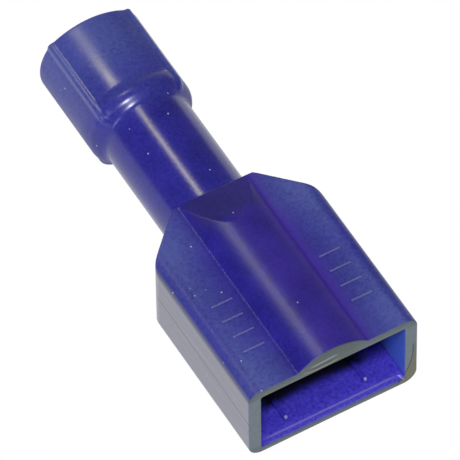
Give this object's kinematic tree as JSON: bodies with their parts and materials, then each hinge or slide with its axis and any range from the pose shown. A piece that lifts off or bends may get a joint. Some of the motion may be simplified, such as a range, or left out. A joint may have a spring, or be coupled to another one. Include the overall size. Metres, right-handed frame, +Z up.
{
  "type": "female spade terminal",
  "caption": "Fully insulated female spade terminal: a flat mouth box for a blade tab, a round neck over the crimp barrel and a flared wire entry.",
  "frame": {"origin": "middle of the footprint, on the surface that the flat underside lies on", "axes": "+X across the mouth, +Y from the mouth towards the wire entry, +Z up through the crown of the mouth box"},
  "size_m": [0.0098, 0.0246, 0.0059],
  "materials": {
    "blue_nylon": "moulded nylon, deep violet blue, glossy and slightly translucent",
    "tinned_brass": "tin plated sheet brass, satin",
    "plated_sleeve": "tin plated drawn tube, satin"
  },
  "bodies": {
    "root": {"housing": "blue_nylon", "receptacle": "tinned_brass", "crimp_sleeve": "plated_sleeve"}
  },
  "joints": []
}
